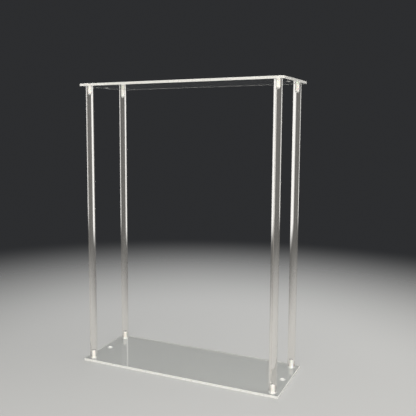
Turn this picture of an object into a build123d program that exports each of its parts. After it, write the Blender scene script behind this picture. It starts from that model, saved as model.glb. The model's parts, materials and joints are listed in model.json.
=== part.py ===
from build123d import *
import math
import os

os.makedirs("parts", exist_ok=True)

# A knock-down display stand in clear acrylic. A base plate and a top plate with the same
# outline are held apart by four round corner posts. A white nylon countersunk screw goes
# through the plate into each end of each post, and each plate has two more holes of the
# same kind, left free, halfway along its short sides.
#
# Millimetres, +Z up. The origin is the middle of the base plate's underside, which is the
# face that the stand rests on. X runs along the long side and the front faces -Y.

# Driving dimensions
stand_length = 435.0
stand_depth = 170.0
stand_height = 600.0
plate_thickness = 5.0
post_diameter = 16.0
hole_inset_end = 15.0  # from each short side of a plate to its row of holes
hole_inset_side = 16.0  # from each long side of a plate to its corner holes

# Polished arrises of the acrylic
plate_corner_radius = 2.0
plate_edge_bevel = 0.4
post_edge_bevel = 0.5

# M6 x 20 slotted countersunk screws
thread_diameter = 6.0
screw_length = 20.0
head_diameter = 11.3
head_land = 0.3
slot_width = 1.6
slot_depth = 1.4
screw_tip_bevel = 0.8
slot_turn_step = 47.0  # the slots stop at different angles, in degrees

# Countersunk clearance holes in the plates, with 90 degree countersinks
clearance_diameter = 6.6
countersink_diameter = 12.0

# Tapped holes in the post ends
thread_gap = 0.05  # between the screw and the wall of its hole
tapped_depth = 16.0
pilot_diameter = 5.0
pilot_depth = 17.5
drill_point_angle = 118.0
tapped_mouth_bevel = 0.5

# Worked out from the dimensions above
post_length = stand_height - 2 * plate_thickness
hole_x = stand_length / 2 - hole_inset_end
hole_y = stand_depth / 2 - hole_inset_side
countersink_depth = (countersink_diameter - clearance_diameter) / 2
head_recess = (countersink_diameter - head_diameter) / 2 - head_land
tool_overrun = 1.0  # how far a cutter runs past the face that it opens

corners = {
    "front_left": (-hole_x, -hole_y),
    "front_right": (hole_x, -hole_y),
    "rear_left": (-hole_x, hole_y),
    "rear_right": (hole_x, hole_y),
}
free_holes = [(-hole_x, 0.0), (hole_x, 0.0)]


def revolved(points):
    """A solid of revolution about Z, from its half outline as (radius, height) points."""
    outline = make_face(Polyline(*points, close=True))
    return revolve(Plane.XZ * outline, Axis.Z)


def screw_hole():
    """The cutter for a clearance hole whose countersink opens downwards at z = 0."""
    clearance = clearance_diameter / 2
    mouth = countersink_diameter / 2
    return revolved(
        [
            (0, -tool_overrun),
            (mouth + tool_overrun, -tool_overrun),
            (clearance, countersink_depth),
            (clearance, plate_thickness + tool_overrun),
            (0, plate_thickness + tool_overrun),
        ]
    )


def plate():
    """One plate, with its underside at z = 0 and its countersinks opening downwards."""
    outline = RectangleRounded(stand_length, stand_depth, plate_corner_radius)
    blank = extrude(outline, plate_thickness)
    rims = blank.edges().group_by(Axis.Z)
    blank = chamfer(rims[0] + rims[-1], plate_edge_bevel)
    for x, y in list(corners.values()) + free_holes:
        blank -= Pos(x, y, 0) * screw_hole()
    return blank


def tapped_hole():
    """The cutter for the threaded hole in a post's lower end, with its drill point."""
    wall = thread_diameter / 2 + thread_gap
    pilot = pilot_diameter / 2
    point = pilot / math.tan(math.radians(drill_point_angle / 2))
    return revolved(
        [
            (0, -tool_overrun),
            (wall + tapped_mouth_bevel + tool_overrun, -tool_overrun),
            (wall, tapped_mouth_bevel),
            (wall, tapped_depth),
            (pilot, tapped_depth + wall - pilot),
            (pilot, pilot_depth),
            (0, pilot_depth + point),
        ]
    )


def post():
    """One solid round post, standing on z = 0, tapped at both ends."""
    bar = extrude(Circle(post_diameter / 2), post_length)
    rims = bar.edges().filter_by(GeomType.CIRCLE)
    bar = chamfer(rims, post_edge_bevel)
    bar -= tapped_hole()
    bar -= Pos(0, 0, post_length) * Rot(180, 0, 0) * tapped_hole()
    return bar


def screw(slot_turn):
    """One screw, with its head's face at z = 0 and its tip pointing up."""
    head = head_diameter / 2
    shank = thread_diameter / 2
    body = revolved(
        [
            (0, 0),
            (head, 0),
            (head, head_land),
            (shank, head_land + head - shank),
            (shank, screw_length - screw_tip_bevel),
            (shank - screw_tip_bevel, screw_length),
            (0, screw_length),
        ]
    )
    slot = Box(head_diameter + 2 * tool_overrun, slot_width, 2 * slot_depth)
    return body - Rot(0, 0, slot_turn) * slot


def turned_over(shape):
    """The shape upside down, as it sits at the top of the stand."""
    return Pos(0, 0, stand_height) * Rot(180, 0, 0) * shape


def stand():
    """Every sub-part in its place, by node name."""
    nodes = {"base_plate": plate(), "top_plate": turned_over(plate())}
    for number, (corner, (x, y)) in enumerate(corners.items()):
        base_turn = slot_turn_step * number
        top_turn = slot_turn_step * (number + len(corners))
        base_screw = Pos(0, 0, head_recess) * screw(base_turn)
        top_screw = turned_over(Pos(0, 0, head_recess) * screw(top_turn))
        nodes[f"post_{corner}"] = Pos(x, y, plate_thickness) * post()
        nodes[f"screw_base_{corner}"] = Pos(x, y, 0) * base_screw
        nodes[f"screw_top_{corner}"] = Pos(x, y, 0) * top_screw
    return nodes


for node, shape in stand().items():
    export_step(shape, f"parts/{node}.step")
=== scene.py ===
import bmesh
import bpy
import json
import math
from mathutils import Euler, Matrix, Vector


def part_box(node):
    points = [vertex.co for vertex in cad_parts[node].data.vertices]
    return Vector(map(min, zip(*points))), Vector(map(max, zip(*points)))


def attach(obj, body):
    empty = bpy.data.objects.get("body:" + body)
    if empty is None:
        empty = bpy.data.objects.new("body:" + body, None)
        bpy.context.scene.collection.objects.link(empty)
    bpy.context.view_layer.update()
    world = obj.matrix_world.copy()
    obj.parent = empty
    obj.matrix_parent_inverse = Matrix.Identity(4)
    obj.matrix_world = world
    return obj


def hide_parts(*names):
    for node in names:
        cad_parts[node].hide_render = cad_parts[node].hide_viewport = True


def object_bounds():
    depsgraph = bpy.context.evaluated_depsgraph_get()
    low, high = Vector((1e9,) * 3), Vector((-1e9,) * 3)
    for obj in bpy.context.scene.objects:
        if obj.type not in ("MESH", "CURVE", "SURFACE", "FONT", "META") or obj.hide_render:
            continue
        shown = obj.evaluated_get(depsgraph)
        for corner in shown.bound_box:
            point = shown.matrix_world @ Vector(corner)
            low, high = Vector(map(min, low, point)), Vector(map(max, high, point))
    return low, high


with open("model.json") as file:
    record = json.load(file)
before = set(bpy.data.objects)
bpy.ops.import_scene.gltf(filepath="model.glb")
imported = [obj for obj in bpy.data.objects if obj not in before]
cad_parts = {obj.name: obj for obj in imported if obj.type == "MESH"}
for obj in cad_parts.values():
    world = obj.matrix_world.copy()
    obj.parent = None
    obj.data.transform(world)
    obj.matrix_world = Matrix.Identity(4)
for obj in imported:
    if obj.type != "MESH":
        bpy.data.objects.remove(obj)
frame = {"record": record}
cad_low, cad_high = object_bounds()

# All lengths are in metres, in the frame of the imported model.
MM = 0.001
ROUND_STEPS = 48  # segments round a hole, a thread or a screw
ROD_STEPS = 192  # segments round a post, which acts as a lens
ARRIS_STEPS = 4  # segments across a rounded arris, and round a plate's corner
FLOOR_STEPS = 96  # segments round the floor's rim
MERGE_DISTANCE = 0.001 * MM  # points nearer than this become one
SLIVER_DISTANCE = 0.0005 * MM  # edges shorter than this are dissolved

# Slots of the acrylic pieces' materials, in order
FACE, EDGE, GROUND, DRILLED = 0, 1, 2, 3

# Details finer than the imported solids
arris_radius = 0.4 * MM
contact_gap = 0.03 * MM  # the air between a post's end and a plate
countersink_radius = 6.0 * MM
countersink_lip = 0.12 * MM
clearance_radius = 3.3 * MM
plate_corner_radius = 2.0 * MM
smallest_corner = 0.02 * MM  # the least that a bevelled outline's corner radius shrinks to

thread_pitch = 1.0 * MM
thread_crest = 2.97 * MM
thread_root = 2.42 * MM
thread_gap = 0.05 * MM  # between a screw and the wall of its hole
thread_root_flat = 0.22  # parts of the pitch
thread_crest_flat = 0.14
thread_flank = (1 - thread_root_flat - thread_crest_flat) / 2
thread_fade = 0.9 * thread_pitch  # how far from its ends a thread reaches full depth
tapped_mouth = 0.5 * MM
tapped_depth = 16.0 * MM
pilot_radius = 2.5 * MM
pilot_depth = 17.5 * MM
drill_point = 1.5 * MM

head_land = 0.3 * MM
head_round_over = 0.12 * MM
slot_width = 1.6 * MM
slot_depth = 1.4 * MM
slot_turn_step = 47.0  # the slots stop at different angles, in degrees
screw_tip_bevel = 0.8 * MM

ACRYLIC_IOR = 1.49
NYLON_IOR = 1.53

corner_names = ("front_left", "front_right", "rear_left", "rear_right")
ORIGIN = Vector((0, 0, 0))
AS_MADE = Matrix.Identity(4)


# ---------------------------------------------------------------- mesh code


def ring_of(bm, centre, radius, height, steps):
    """The points of a level circle, or its one middle point where the radius is nothing."""
    ring = []
    for step in range(steps if radius > 0 else 1):
        turn = 2 * math.pi * step / steps
        place = Vector((radius * math.cos(turn), radius * math.sin(turn), height))
        ring.append(bm.verts.new(centre + place))
    return ring


def lathe(bm, points, centre, slot, steps=ROUND_STEPS):
    """A surface of revolution about a vertical axis, from (radius, height) points.

    Returns the edges of its first and last rings.
    """
    rings = [ring_of(bm, centre, radius, height, steps) for radius, height in points]
    for lower, upper in zip(rings, rings[1:]):
        for step in range(steps):
            after = (step + 1) % steps
            corners = []
            for vert in (
                lower[step % len(lower)],
                lower[after % len(lower)],
                upper[after % len(upper)],
                upper[step % len(upper)],
            ):
                if vert not in corners:
                    corners.append(vert)
            face = bm.faces.new(corners)
            face.material_index = slot
            face.smooth = True
    return ring_edges(bm, rings[0]), ring_edges(bm, rings[-1])


def thread_radius(phase, root, crest):
    """Radius of a thread at a phase from 0 to 1 along its pitch."""
    rise = min(max((phase - thread_root_flat) / thread_flank, 0), 1)
    crest_end = thread_root_flat + thread_flank + thread_crest_flat
    fall = min(max((phase - crest_end) / thread_flank, 0), 1)
    return root + (crest - root) * (rise - fall)


def thread(bm, centre, low, high, root, crest, low_radius, high_radius, slot):
    """A helical thread between two heights. It fades into plain rings at its two ends."""
    crest_start = thread_root_flat + thread_flank
    corners = (0.0, thread_root_flat, crest_start, crest_start + thread_crest_flat)
    turns = math.ceil((high - low) / thread_pitch) + 1
    rows = []
    for turn in range(-1, turns):
        for phase in corners:
            start = (turn + phase) * thread_pitch
            row = []
            for step in range(ROUND_STEPS + 1):
                share = step / ROUND_STEPS
                height = min(max(low + start + share * thread_pitch, low), high)
                here = ((height - low) / thread_pitch - share) % 1.0
                radius = thread_radius(here, root, crest)
                near_low = min((height - low) / thread_fade, 1)
                near_high = min((high - height) / thread_fade, 1)
                radius = low_radius + (radius - low_radius) * near_low
                radius = high_radius + (radius - high_radius) * near_high
                angle = 2 * math.pi * share
                place = Vector((radius * math.cos(angle), radius * math.sin(angle), height))
                row.append(bm.verts.new(centre + place))
            rows.append(row)
    for lower, upper in zip(rows, rows[1:]):
        for step in range(ROUND_STEPS):
            face = bm.faces.new((lower[step], lower[step + 1], upper[step + 1], upper[step]))
            face.material_index = slot
            face.smooth = True


def rounded_outline(half_x, half_y, radius):
    """Corner points of a rectangle with rounded corners, anticlockwise, as (x, y)."""
    points = []
    for quarter, (sx, sy) in enumerate(((1, 1), (-1, 1), (-1, -1), (1, -1))):
        for step in range(ARRIS_STEPS + 1):
            angle = math.pi / 2 * (quarter + step / ARRIS_STEPS)
            x = sx * (half_x - radius) + radius * math.cos(angle)
            y = sy * (half_y - radius) + radius * math.sin(angle)
            points.append((x, y))
    return points


def side_profile(bottom, top):
    """The side of a piece with its two rims rounded, as (inset, height) points."""
    rim = []
    for step in range(ARRIS_STEPS + 1):
        angle = math.pi / 2 * step / ARRIS_STEPS
        rim.append((arris_radius * (1 - math.sin(angle)), arris_radius * (1 - math.cos(angle))))
    lower = [(inset, bottom + rise) for inset, rise in rim]
    upper = [(inset, top - rise) for inset, rise in reversed(rim)]
    return lower + upper


def plate_side(bm, half_x, half_y, thickness):
    """The edge of a plate that lies on z = 0. Returns the edges of its lower and upper rims."""
    loops = []
    for inset, height in side_profile(0, thickness):
        radius = max(plate_corner_radius - inset, smallest_corner)
        outline = rounded_outline(half_x - inset, half_y - inset, radius)
        loops.append([bm.verts.new((x, y, height)) for x, y in outline])
    count = len(loops[0])
    for lower, upper in zip(loops, loops[1:]):
        for step in range(count):
            after = (step + 1) % count
            face = bm.faces.new((lower[step], lower[after], upper[after], upper[step]))
            face.material_index = EDGE
    return ring_edges(bm, loops[0]), ring_edges(bm, loops[-1])


def ring_edges(bm, ring):
    """The edges that join a closed ring of points. A single point has none."""
    if len(ring) < 3:
        return []
    pairs = zip(ring, ring[1:] + ring[:1])
    return [bm.edges.get(pair) or bm.edges.new(pair) for pair in pairs]


def circle_edges(bm, centre, radius, height):
    """The edges of a hole's mouth in a flat face."""
    return ring_edges(bm, ring_of(bm, centre, radius, height, ROUND_STEPS))


def flat_face(bm, edges, slot):
    """Fills a flat outline, leaving its holes open."""
    made = bmesh.ops.triangle_fill(bm, edges=edges, use_beauty=True)
    for item in made["geom"]:
        if isinstance(item, bmesh.types.BMFace):
            item.material_index = slot
            item.smooth = False


def to_piece(bm, name, materials, place):
    """Closes the mesh, puts it in its place and makes the object."""
    bmesh.ops.remove_doubles(bm, verts=bm.verts, dist=MERGE_DISTANCE)
    bmesh.ops.dissolve_degenerate(bm, edges=bm.edges, dist=SLIVER_DISTANCE)
    bmesh.ops.recalc_face_normals(bm, faces=bm.faces)
    bmesh.ops.transform(bm, matrix=place, verts=bm.verts)
    mesh = bpy.data.meshes.new(name)
    bm.to_mesh(mesh)
    bm.free()
    piece = bpy.data.objects.new(name, mesh)
    bpy.context.scene.collection.objects.link(piece)
    for material in materials:
        mesh.materials.append(material)
    return piece


# ---------------------------------------------------------------- materials


def empty_material(name):
    """A material with an output and nothing else, and its node tree."""
    material = bpy.data.materials.new(name)
    material.use_nodes = True
    tree = material.node_tree
    tree.nodes.clear()
    tree.nodes.new("ShaderNodeOutputMaterial")
    return material, tree


def show(tree, surface):
    """Makes a surface the one that the material shows."""
    output = next(node for node in tree.nodes if node.type == "OUTPUT_MATERIAL")
    tree.links.new(surface, output.inputs["Surface"])


def show_mix(tree, amount, first, second):
    """Shows the first surface where the amount is 0 and the second where it is 1."""
    mix = tree.nodes.new("ShaderNodeMixShader")
    tree.links.new(amount, mix.inputs["Fac"])
    tree.links.new(first, mix.inputs[1])
    tree.links.new(second, mix.inputs[2])
    show(tree, mix.outputs["Shader"])


def see_through(tree, colour=(1, 1, 1)):
    """A surface that lets light straight through."""
    node = tree.nodes.new("ShaderNodeBsdfTransparent")
    node.inputs["Color"].default_value = (*colour, 1)
    return node.outputs["BSDF"]


def new_material(name, ior=None):
    """A material with one shader, its node tree and that shader."""
    material, tree = empty_material(name)
    shader = tree.nodes.new("ShaderNodeBsdfPrincipled")
    if ior is not None:
        shader.inputs["IOR"].default_value = ior
    show(tree, shader.outputs["BSDF"])
    return material, tree, shader


def place_in_frame(tree, stretch=(1, 1, 1)):
    """Coordinates in metres in the frame, stretched along the axes."""
    coordinates = tree.nodes.new("ShaderNodeTexCoord")
    mapping = tree.nodes.new("ShaderNodeMapping")
    mapping.inputs["Scale"].default_value = stretch
    tree.links.new(coordinates.outputs["Object"], mapping.inputs["Vector"])
    return mapping.outputs["Vector"]


def noise(tree, where, scale, detail=2.0, roughness=0.5):
    """A noise from 0 to 1."""
    node = tree.nodes.new("ShaderNodeTexNoise")
    node.inputs["Scale"].default_value = scale
    node.inputs["Detail"].default_value = detail
    node.inputs["Roughness"].default_value = roughness
    tree.links.new(where, node.inputs["Vector"])
    return node.outputs["Fac"]


def spread(tree, value, source, target, kind="LINEAR"):
    """Maps one range of a value onto another, clamped."""
    node = tree.nodes.new("ShaderNodeMapRange")
    node.interpolation_type = kind
    for socket, limit in zip(("From Min", "From Max", "To Min", "To Max"), source + target):
        node.inputs[socket].default_value = limit
    tree.links.new(value, node.inputs["Value"])
    return node.outputs["Result"]


def maths(tree, operation, first, second):
    """One Math node. Each argument is a socket or a number."""
    node = tree.nodes.new("ShaderNodeMath")
    node.operation = operation
    for socket, value in zip(node.inputs, (first, second)):
        if isinstance(value, (int, float)):
            socket.default_value = value
        else:
            tree.links.new(value, socket)
    return node.outputs["Value"]


def tint(tree, amount, dark, light):
    """A colour between two colours."""
    node = tree.nodes.new("ShaderNodeMix")
    node.data_type = "RGBA"
    node.inputs["A"].default_value = (*dark, 1)
    node.inputs["B"].default_value = (*light, 1)
    tree.links.new(amount, node.inputs["Factor"])
    return node.outputs["Result"]


def bump(tree, height, depth):
    """A bump of the given depth in metres."""
    node = tree.nodes.new("ShaderNodeBump")
    node.inputs["Distance"].default_value = depth
    tree.links.new(height, node.inputs["Height"])
    return node.outputs["Normal"]


def finish_with(tree, shader, **values):
    """Links values to the shader's sockets, each under a short name."""
    names = {
        "colour": "Base Color",
        "roughness": "Roughness",
        "clarity": "Transmission Weight",
        "relief": "Normal",
    }
    for key, value in values.items():
        tree.links.new(value, shader.inputs[names[key]])


def let_light_through(tree, shader, share, colour):
    """Lets part of the lamps' light through clear acrylic, so that its shadow is pale."""
    path = tree.nodes.new("ShaderNodeLightPath")
    amount = maths(tree, "MULTIPLY", path.outputs["Is Shadow Ray"], share)
    show_mix(tree, amount, shader.outputs["BSDF"], see_through(tree, colour))


def clear_acrylic(name, clarity, dark, light):
    """Polished acrylic: faint wipe marks, hairline scratches, dust and a slight waviness."""
    material, tree, shader = new_material(name, ACRYLIC_IOR)
    shader.inputs["Transmission Weight"].default_value = clarity
    where = place_in_frame(tree)
    wipes = noise(tree, place_in_frame(tree, (9, 3, 5)), scale=6.0, detail=4.0, roughness=0.6)
    hairs = noise(tree, place_in_frame(tree, (60, 1400, 90)), scale=1.6, detail=2.0, roughness=0.4)
    specks = noise(tree, where, scale=1900.0, detail=1.0)
    hairline = spread(tree, hairs, (0.74, 0.80), (0.0, 1.0))
    dust = spread(tree, specks, (0.80, 0.86), (0.0, 1.0))
    scratches = maths(tree, "MULTIPLY", hairline, 0.05)
    dull_specks = maths(tree, "MULTIPLY", dust, 0.3)
    marks = maths(tree, "MAXIMUM", scratches, dull_specks)
    smear = spread(tree, wipes, (0.45, 0.75), (0.004, 0.02))
    cloud = noise(tree, where, scale=5.0, detail=2.0)
    ripple = noise(tree, where, scale=14.0, detail=1.0)
    finish_with(
        tree,
        shader,
        roughness=maths(tree, "ADD", smear, marks),
        colour=tint(tree, cloud, dark, light),
        relief=bump(tree, ripple, depth=0.01 * MM),
    )
    let_light_through(tree, shader, share=1.0, colour=(0.96, 0.965, 0.96))
    return material


def cut_edge():
    """Cut and trimmed faces: satin white, with faint upright cutter marks."""
    material, tree, shader = new_material("acrylic_edge", ACRYLIC_IOR)
    strokes = noise(tree, place_in_frame(tree, (1, 1, 0.03)), scale=1500.0, detail=2.0)
    patches = noise(tree, place_in_frame(tree), scale=45.0, detail=3.0)
    finish_with(
        tree,
        shader,
        roughness=spread(tree, strokes, (0.3, 0.7), (0.27, 0.33)),
        clarity=spread(tree, patches, (0.3, 0.7), (0.40, 0.48)),
        colour=tint(tree, patches, (0.85, 0.85, 0.83), (0.90, 0.90, 0.88)),
        relief=bump(tree, strokes, depth=0.0015 * MM),
    )
    let_light_through(tree, shader, share=0.8, colour=(0.92, 0.92, 0.9))
    return material


def tapped_wall():
    """Countersunk, reamed and tapped walls: frosted white, with rings left by the tool."""
    material, tree, shader = new_material("acrylic_frosted", ACRYLIC_IOR)
    rings = noise(tree, place_in_frame(tree, (0.25, 0.25, 1)), scale=5200.0, detail=2.0)
    grain = noise(tree, place_in_frame(tree), scale=3000.0, detail=2.0)
    finish_with(
        tree,
        shader,
        roughness=spread(tree, grain, (0.3, 0.7), (0.42, 0.62)),
        clarity=spread(tree, rings, (0.35, 0.65), (0.20, 0.35)),
        colour=tint(tree, rings, (0.90, 0.90, 0.89), (0.97, 0.97, 0.96)),
        relief=bump(tree, rings, depth=0.02 * MM),
    )
    let_light_through(tree, shader, share=1.0, colour=(0.96, 0.96, 0.96))
    return material


def drilled_wall():
    """The blind end of a drilled hole: nearly clear, with fine rings round it."""
    material, tree, shader = new_material("acrylic_drilled", ACRYLIC_IOR)
    rings = noise(tree, place_in_frame(tree, (0.1, 0.1, 1)), scale=4200.0, detail=2.0)
    finish_with(
        tree,
        shader,
        roughness=spread(tree, rings, (0.3, 0.7), (0.10, 0.22)),
        clarity=spread(tree, rings, (0.3, 0.7), (0.88, 0.95)),
        colour=tint(tree, rings, (0.93, 0.94, 0.93), (0.97, 0.975, 0.97)),
        relief=bump(tree, rings, depth=0.01 * MM),
    )
    let_light_through(tree, shader, share=1.0, colour=(0.96, 0.96, 0.96))
    return material


def white_nylon():
    """Moulded nylon: bright white, faintly cloudy, with a soft sheen and a fine grain."""
    material, tree, shader = new_material("white_nylon", NYLON_IOR)
    shader.inputs["Subsurface Weight"].default_value = 0.15
    shader.inputs["Subsurface Scale"].default_value = 1.5 * MM
    cloud = noise(tree, place_in_frame(tree), scale=450.0, detail=3.0)
    grain = noise(tree, place_in_frame(tree), scale=9000.0, detail=2.0)
    finish_with(
        tree,
        shader,
        colour=tint(tree, cloud, (0.86, 0.86, 0.83), (0.94, 0.94, 0.92)),
        roughness=spread(tree, grain, (0.3, 0.7), (0.32, 0.48)),
        relief=bump(tree, grain, depth=0.008 * MM),
    )
    return material


def floor_paper(fade_start, fade_end):
    """Pale matt studio paper that fades out with distance from the middle."""
    material, tree, shader = new_material("floor_paper")
    where = place_in_frame(tree)
    fibres = noise(tree, where, scale=700.0, detail=3.0)
    cloud = noise(tree, where, scale=1.5, detail=2.0)
    finish_with(
        tree,
        shader,
        colour=tint(tree, cloud, (0.40, 0.40, 0.395), (0.43, 0.43, 0.425)),
        roughness=spread(tree, fibres, (0.3, 0.7), (0.55, 0.7)),
        relief=bump(tree, fibres, depth=0.05 * MM),
    )
    length = tree.nodes.new("ShaderNodeVectorMath")
    length.operation = "LENGTH"
    tree.links.new(where, length.inputs[0])
    distance = length.outputs["Value"]
    fade = spread(tree, distance, (fade_start, fade_end), (0.0, 1.0), "SMOOTHSTEP")
    show_mix(tree, fade, shader.outputs["BSDF"], see_through(tree))
    return material


def glow(width, height, strength):
    """A glow that fades out softly at the sides, the top and the foot of an upright card."""
    material, tree = empty_material("glow")
    split = tree.nodes.new("ShaderNodeSeparateXYZ")
    tree.links.new(place_in_frame(tree), split.inputs["Vector"])
    across = maths(tree, "ABSOLUTE", split.outputs["X"], 0.0)
    up = split.outputs["Y"]
    sides = spread(tree, across, (0.25 * width, 0.5 * width), (1.0, 0.0), "SMOOTHSTEP")
    top = spread(tree, up, (0.35 * height, 0.5 * height), (1.0, 0.0), "SMOOTHSTEP")
    foot = spread(tree, up, (-0.5 * height, -0.4 * height), (0.0, 1.0), "SMOOTHSTEP")
    lamp = tree.nodes.new("ShaderNodeEmission")
    lamp.inputs["Strength"].default_value = strength
    amount = maths(tree, "MULTIPLY", maths(tree, "MULTIPLY", sides, top), foot)
    show_mix(tree, amount, see_through(tree), lamp.outputs["Emission"])
    return material


# ---------------------------------------------------------------- pieces

sheet = clear_acrylic(
    "acrylic_sheet", clarity=0.98, dark=(0.965, 0.978, 0.972), light=(0.992, 0.995, 0.99)
)
bar = clear_acrylic(
    "acrylic_bar", clarity=0.945, dark=(0.965, 0.94, 0.905), light=(0.985, 0.965, 0.935)
)
worked = [cut_edge(), tapped_wall(), drilled_wall()]  # for the slots EDGE, GROUND and DRILLED
nylon = white_nylon()


def middle_of(node):
    """The middle of a node's box, on the floor plane."""
    low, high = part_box(node)
    return Vector(((low.x + high.x) / 2, (low.y + high.y) / 2, 0))


def upside_down(y=0.0):
    """Turns what is made at the base over into its place at the top, about a line at y."""
    return Matrix.Translation((0, 2 * y, cad_high.z)) @ Matrix.Rotation(math.pi, 4, "X")


def free_hole_centres():
    """Where the two free holes of a plate are, from the mount that names them."""
    mount = next(m for m in frame["record"]["mounts"] if m["name"] == "base_free_holes")
    reach = mount["dims"]["spacing_x_mm"] * MM / 2
    middle = Vector(mount["pos_m"])
    return [Vector((middle.x + side * reach, middle.y, 0)) for side in (-1, 1)]


def plate_piece(name, node, place):
    """One plate with rounded arrises, satin edges and six frosted countersunk holes."""
    low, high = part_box(node)
    thickness = high.z - low.z
    half_x, half_y = (high.x - low.x) / 2, (high.y - low.y) / 2
    screw_holes = [middle_of(f"post_{corner}") for corner in corner_names]
    bm = bmesh.new()
    bottom, top = plate_side(bm, half_x, half_y, thickness)
    sink = countersink_radius + countersink_lip
    for hole in screw_holes + free_hole_centres():
        bottom += circle_edges(bm, hole, sink, 0)
        top += circle_edges(bm, hole, clearance_radius + countersink_lip, thickness)
        profile = [
            (sink, 0),
            (countersink_radius, countersink_lip),
            (clearance_radius, countersink_lip + countersink_radius - clearance_radius),
            (clearance_radius, thickness - countersink_lip),
            (clearance_radius + countersink_lip, thickness),
        ]
        lathe(bm, profile, hole, GROUND)
    flat_face(bm, bottom, FACE)
    flat_face(bm, top, FACE)
    return to_piece(bm, name, [sheet] + worked, place)


def tapped_hole(bm, centre, end, bottom):
    """The threaded blind hole in a post's lower end. Returns its points and its mouth's radius."""
    before = set(bm.verts)
    crest, root = thread_crest + thread_gap, thread_root + thread_gap
    mouth = crest + tapped_mouth
    start, stop = bottom + tapped_mouth, end + tapped_depth
    lathe(bm, [(mouth, bottom), (crest, start)], centre, GROUND)
    thread(bm, centre, start, stop, root, crest, crest, pilot_radius, GROUND)
    pilot = [
        (pilot_radius, stop),
        (pilot_radius, end + pilot_depth),
        (0, end + pilot_depth + drill_point),
    ]
    lathe(bm, pilot, centre, DRILLED)
    return [vert for vert in bm.verts if vert not in before], mouth


def post_piece(name, node):
    """One round rod with rounded rims and a threaded hole in each end."""
    low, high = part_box(node)
    bottom, top = low.z + contact_gap, high.z - contact_gap
    radius = (high.x - low.x) / 2
    centre = middle_of(node)
    bm = bmesh.new()
    outline = [(radius - inset, height) for inset, height in side_profile(bottom, top)]
    bottom_rim, top_rim = lathe(bm, outline, centre, FACE, ROD_STEPS)
    for rim, height, over in ((bottom_rim, bottom, False), (top_rim, top, True)):
        hole, mouth = tapped_hole(bm, centre, low.z, bottom)
        if over:
            bmesh.ops.transform(bm, matrix=upside_down(centre.y), verts=hole)
        flat_face(bm, rim + circle_edges(bm, centre, mouth, height), EDGE)
    return to_piece(bm, name, [bar] + worked, AS_MADE)


def screw_piece(name, node, slot_turn, over):
    """One slotted countersunk screw with a real thread, head down, or turned over."""
    low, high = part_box(node)
    bottom = cad_high.z - high.z if over else low.z
    tip = bottom + high.z - low.z
    head = max(high.x - low.x, high.y - low.y) / 2
    neck = bottom + head_land + head - thread_crest
    end = tip - screw_tip_bevel
    bm = bmesh.new()
    head_profile = [
        (0, bottom),
        (head - head_round_over, bottom),
        (head, bottom + head_round_over),
        (head, bottom + head_land),
        (thread_crest, neck),
    ]
    lathe(bm, head_profile, ORIGIN, FACE)
    thread(bm, ORIGIN, neck, end, thread_root, thread_crest, thread_crest, thread_root, FACE)
    tip_profile = [(thread_root, end), (thread_root - screw_tip_bevel, tip), (0, tip)]
    lathe(bm, tip_profile, ORIGIN, FACE)
    piece = to_piece(bm, name, [nylon], AS_MADE)
    cut_slot(piece, bottom, math.radians(slot_turn), head)
    place = upside_down() if over else AS_MADE
    piece.data.transform(Matrix.Translation(middle_of(node)) @ place)
    return piece


def cut_slot(piece, bottom, turn, head):
    """Cuts the driver slot across the head's face."""
    past_the_head = 4 * head
    bm = bmesh.new()
    bmesh.ops.create_cube(bm, size=1.0)
    size = Matrix.Diagonal((past_the_head, slot_width, 2 * slot_depth, 1))
    bmesh.ops.transform(bm, matrix=Matrix.Rotation(turn, 4, "Z") @ size, verts=bm.verts)
    bmesh.ops.translate(bm, vec=(0, 0, bottom), verts=bm.verts)
    cutter = to_piece(bm, "slot_cutter", [], AS_MADE)
    cut = piece.modifiers.new("slot", "BOOLEAN")
    cut.operation = "DIFFERENCE"
    cut.solver = "EXACT"
    cut.object = cutter
    graph = bpy.context.evaluated_depsgraph_get()
    mesh = bpy.data.meshes.new_from_object(piece.evaluated_get(graph))
    piece.modifiers.remove(cut)
    piece.data = mesh
    bpy.data.objects.remove(cutter)


def add(piece, node):
    """Joins a piece to the stand in the place of its CAD node."""
    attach(piece, "root")
    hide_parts(node)


for node, place in (("base_plate", AS_MADE), ("top_plate", upside_down())):
    add(plate_piece(f"clear_{node}", node, place), node)
for number, corner in enumerate(corner_names):
    node = f"post_{corner}"
    add(post_piece(f"clear_{node}", node), node)
    for level, start in (("base", 0), ("top", len(corner_names))):
        node = f"screw_{level}_{corner}"
        slot_turn = slot_turn_step * (number + start)
        add(screw_piece(f"nylon_{node}", node, slot_turn, level == "top"), node)


# ---------------------------------------------------------------- studio


def make_camera():
    """The camera, to the right of the front and a little under the top plate."""
    data = bpy.data.cameras.new("camera")
    data.lens = 52.66
    data.shift_x, data.shift_y = 0.115, -0.029
    camera = bpy.data.objects.new("camera", data)
    bpy.context.scene.collection.objects.link(camera)
    camera.location = (0.5141, -1.1612, 0.5095)
    heading, tilt, roll = math.radians(26.78), math.radians(-6.46), math.radians(-0.17)
    facing = Euler((math.pi / 2 + tilt, 0, heading)).to_matrix() @ Matrix.Rotation(roll, 3, "Z")
    camera.rotation_euler = facing.to_euler()
    bpy.context.scene.camera = camera


def make_floor():
    """A pale round floor that fades into the backdrop."""
    fade_start, fade_end = 0.4, 1.5
    bm = bmesh.new()
    bmesh.ops.create_circle(bm, cap_ends=True, segments=FLOOR_STEPS, radius=fade_end)
    paper = floor_paper(fade_start, fade_end)
    to_piece(bm, "floor", [paper], Matrix.Translation((0, 0, cad_low.z)))


def soft_light(name, place, target, size, power, colour):
    """A soft box at a place, turned towards a target."""
    data = bpy.data.lights.new(name, "AREA")
    data.shape = "RECTANGLE"
    data.size, data.size_y = size
    data.energy = power
    data.color = colour
    lamp = bpy.data.objects.new(name, data)
    bpy.context.scene.collection.objects.link(lamp)
    lamp.location = place
    lamp.rotation_euler = (Vector(target) - Vector(place)).to_track_quat("-Z", "Y").to_euler()
    lamp.visible_camera = False
    lamp.visible_glossy = False
    lamp.visible_transmission = False


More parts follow.
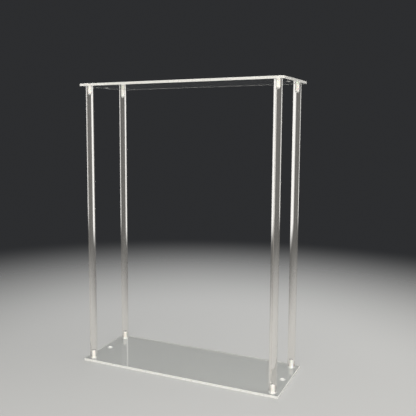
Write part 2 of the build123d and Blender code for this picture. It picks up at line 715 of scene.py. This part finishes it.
def make_lights():
    """Four soft boxes: the key in front, one at the right end, one behind and one above."""
    middle, foot = (0, 0, 0.3), (0, 0, 0)
    cool = (0.98, 0.99, 1.0)
    warm, warmish = (1.0, 0.97, 0.91), (1.0, 0.97, 0.92)
    soft_light("key", (0.45, -2.1, 0.85), middle, size=(1.1, 0.8), power=54, colour=warm)
    soft_light("side", (1.7, 0.35, 0.9), middle, size=(0.8, 0.8), power=18, colour=warmish)
    soft_light("back", (-0.5, 2.0, 1.3), middle, size=(1.2, 0.8), power=26, colour=cool)
    soft_light("overhead", (0.1, 0.1, 2.2), foot, size=(1.5, 1.5), power=32, colour=cool)


def glow_card(name, heading, width):
    """An upright card facing the stand, which is seen only through the acrylic.

    The heading is in degrees, from straight behind the stand towards the right.
    """
    distance, height, strength = 1.5, 0.85, 1.1
    bm = bmesh.new()
    bmesh.ops.create_grid(bm, x_segments=1, y_segments=1, size=0.5)
    size = Matrix.Diagonal((width, height, 1, 1))
    card = to_piece(bm, name, [glow(width, height, strength)], size)
    turn = math.radians(heading)
    card.location = (distance * math.sin(turn), distance * math.cos(turn), height / 2)
    card.rotation_euler = (math.pi / 2, 0, -turn)
    card.visible_camera = False
    card.visible_diffuse = False
    card.visible_glossy = False
    card.visible_shadow = False


def make_cards():
    """Two pale cards, right and left of the backdrop, which give the posts bright bands."""
    glow_card("right_card", heading=29, width=1.95)
    glow_card("left_card", heading=-66, width=0.85)


def make_backdrop():
    """A plain dark grey world."""
    world = bpy.data.worlds.new("backdrop")
    bpy.context.scene.world = world
    world.use_nodes = True
    background = world.node_tree.nodes["Background"]
    background.inputs["Color"].default_value = (0.026, 0.027, 0.029, 1)
    background.inputs["Strength"].default_value = 1.0


def set_light_paths():
    """Plain colours, and enough bounces for light to cross several pieces of acrylic."""
    bpy.context.scene.view_settings.view_transform = "Standard"
    cycles = bpy.context.scene.cycles
    cycles.max_bounces = 24
    cycles.glossy_bounces = 16
    cycles.transmission_bounces = 24
    cycles.transparent_max_bounces = 24
    cycles.caustics_refractive = False
    cycles.caustics_reflective = False


make_camera()
make_floor()
make_lights()
make_cards()
make_backdrop()
set_light_paths()
